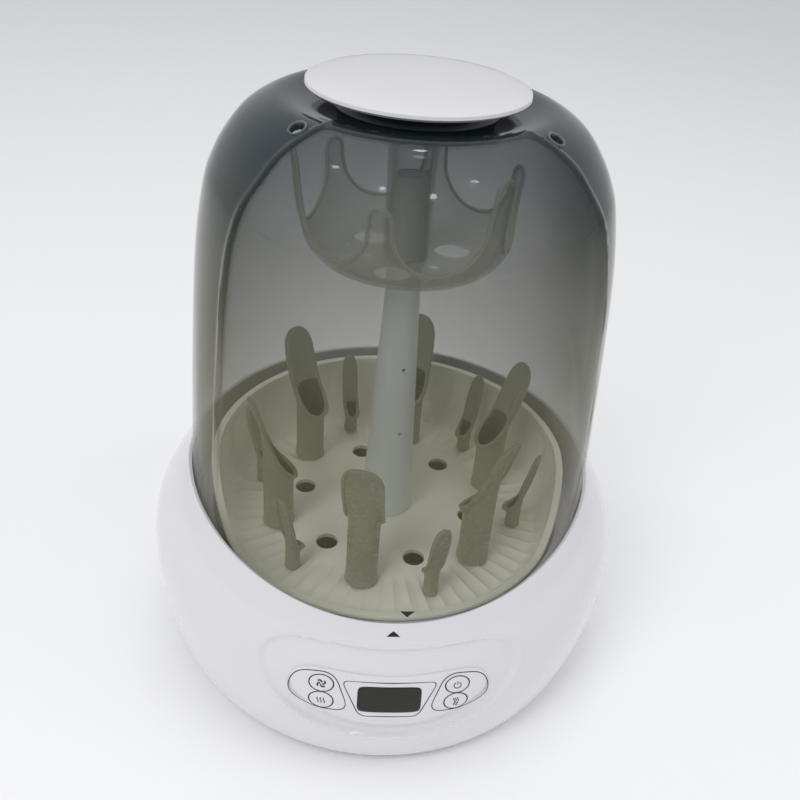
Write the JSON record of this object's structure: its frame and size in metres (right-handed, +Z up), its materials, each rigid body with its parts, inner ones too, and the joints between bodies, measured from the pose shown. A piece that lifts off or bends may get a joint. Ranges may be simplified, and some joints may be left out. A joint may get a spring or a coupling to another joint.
{
  "type": "bottle steriliser",
  "caption": "Electric steam steriliser and dryer: white heated base with a tilted control panel, smoke-tinted domed lid, peg rack on a central mast and an upper tray.",
  "frame": {"origin": "on the table, under the middle of the base", "axes": "+Z up along the mast, -Y out of the control panel, +X to the right as the user faces the panel"},
  "size_m": [0.308, 0.2922, 0.3834],
  "materials": {
    "white_gloss": "glossy",
    "white_satin": "satin",
    "dark_rubber": "matte",
    "screw_steel": "plain",
    "stainless": "brushed",
    "silicone": "matte",
    "element_sheath": "heat tinted",
    "zinc_steel": "satin",
    "black_plastic": "matte",
    "fuse_ceramic": "matte",
    "motor_steel": "satin",
    "duct_grey": "matte",
    "heater_fins": "plain",
    "board_green": "solder mask",
    "display_dark": "glossy",
    "window_smoke": "clear glossy",
    "grey_rubber": "matte",
    "filter_paper": "pleated",
    "smoke_clear": "clear smoke tint",
    "smoke_dark": "glossy",
    "rack_grey": "semi-gloss",
    "peg_olive": "semi-gloss",
    "mast_white": "semi-gloss",
    "tray_clear": "clear"
  },
  "bodies": {
    "base": {"base_housing": "white_gloss", "bottom_cover": "white_satin", "rubber_foot_1": "dark_rubber", "rubber_foot_2": "dark_rubber", "rubber_foot_3": "dark_rubber", "rubber_foot_4": "dark_rubber", "base_screw_1": "screw_steel", "base_screw_2": "screw_steel", "base_screw_3": "screw_steel", "base_screw_4": "screw_steel", "heater_plate": "stainless", "basin_seal": "silicone", "heating_element": "element_sheath", "element_clamp": "zinc_steel", "thermostat": "black_plastic", "thermal_fuse": "fuse_ceramic", "blower_housing": "black_plastic", "blower_motor": "motor_steel", "air_duct": "duct_grey", "air_heater": "heater_fins", "control_board": "board_green", "display_board": "board_green", "display_module": "display_dark", "display_window": "window_smoke", "control_overlay": "white_gloss", "cord_gland": "grey_rubber"},
    "fan": {"fan_impeller": "black_plastic"},
    "lid": {"lid_dome": "smoke_clear", "lid_cap": "white_gloss", "lid_boss": "smoke_dark"},
    "rack": {"rack_floor": "rack_grey", "rack_wall": "rack_grey", "tall_peg_1": "peg_olive", "tall_peg_2": "peg_olive", "tall_peg_3": "peg_olive", "tall_peg_4": "peg_olive", "tall_peg_5": "peg_olive", "tall_peg_6": "peg_olive", "small_peg_1": "peg_olive", "small_peg_2": "peg_olive", "small_peg_3": "peg_olive", "small_peg_4": "peg_olive", "small_peg_5": "peg_olive", "small_peg_6": "peg_olive", "mast": "mast_white", "mast_nut": "mast_white"},
    "upper_tray": {"upper_tray": "tray_clear"},
    "rear_filter": {"filter_cover": "white_gloss", "air_filter": "filter_paper"},
    "button_fan_body": {"button_fan": "white_gloss"},
    "button_steam_body": {"button_steam": "white_gloss"},
    "button_power_body": {"button_power": "white_gloss"},
    "button_cycle_body": {"button_cycle": "white_gloss"}
  },
  "joints": [
    {"name": "lid_lift", "type": "slide", "parent": "base", "child": "lid", "axis": [0, 0, 1], "range_m": [0, 0.26]},
    {"name": "rack_lift", "type": "slide", "parent": "base", "child": "rack", "axis": [0, 0, 1], "range_m": [0, 0.07]},
    {"name": "upper_tray_lift", "type": "slide", "parent": "rack", "child": "upper_tray", "axis": [0, 0, 1], "range_m": [0, 0.055]},
    {"name": "fan_spin", "type": "hinge", "parent": "base", "child": "fan", "pos_m": [0.00167, 0.02874, 0.03], "axis": [0, 0, 1], "continuous": true},
    {"name": "filter_pull", "type": "slide", "parent": "base", "child": "rear_filter", "axis": [0, 1, 0], "range_m": [0, 0.04]},
    {"name": "button_fan_press", "type": "slide", "parent": "base", "child": "button_fan_body", "axis": [0, 0.9511, -0.309], "range_m": [0, 0.0008], "stiffness_N_per_m": 600},
    {"name": "button_steam_press", "type": "slide", "parent": "base", "child": "button_steam_body", "axis": [0, 0.9511, -0.309], "range_m": [0, 0.0008], "stiffness_N_per_m": 600},
    {"name": "button_power_press", "type": "slide", "parent": "base", "child": "button_power_body", "axis": [0, 0.9511, -0.309], "range_m": [0, 0.0008], "stiffness_N_per_m": 600},
    {"name": "button_cycle_press", "type": "slide", "parent": "base", "child": "button_cycle_body", "axis": [0, 0.9511, -0.309], "range_m": [0, 0.0008], "stiffness_N_per_m": 600}
  ],
  "couplings": [
    {"joint": "rack_lift", "follows": "lid_lift", "ratio": 0.26},
    {"joint": "upper_tray_lift", "follows": "lid_lift", "ratio": 0.2}
  ]
}
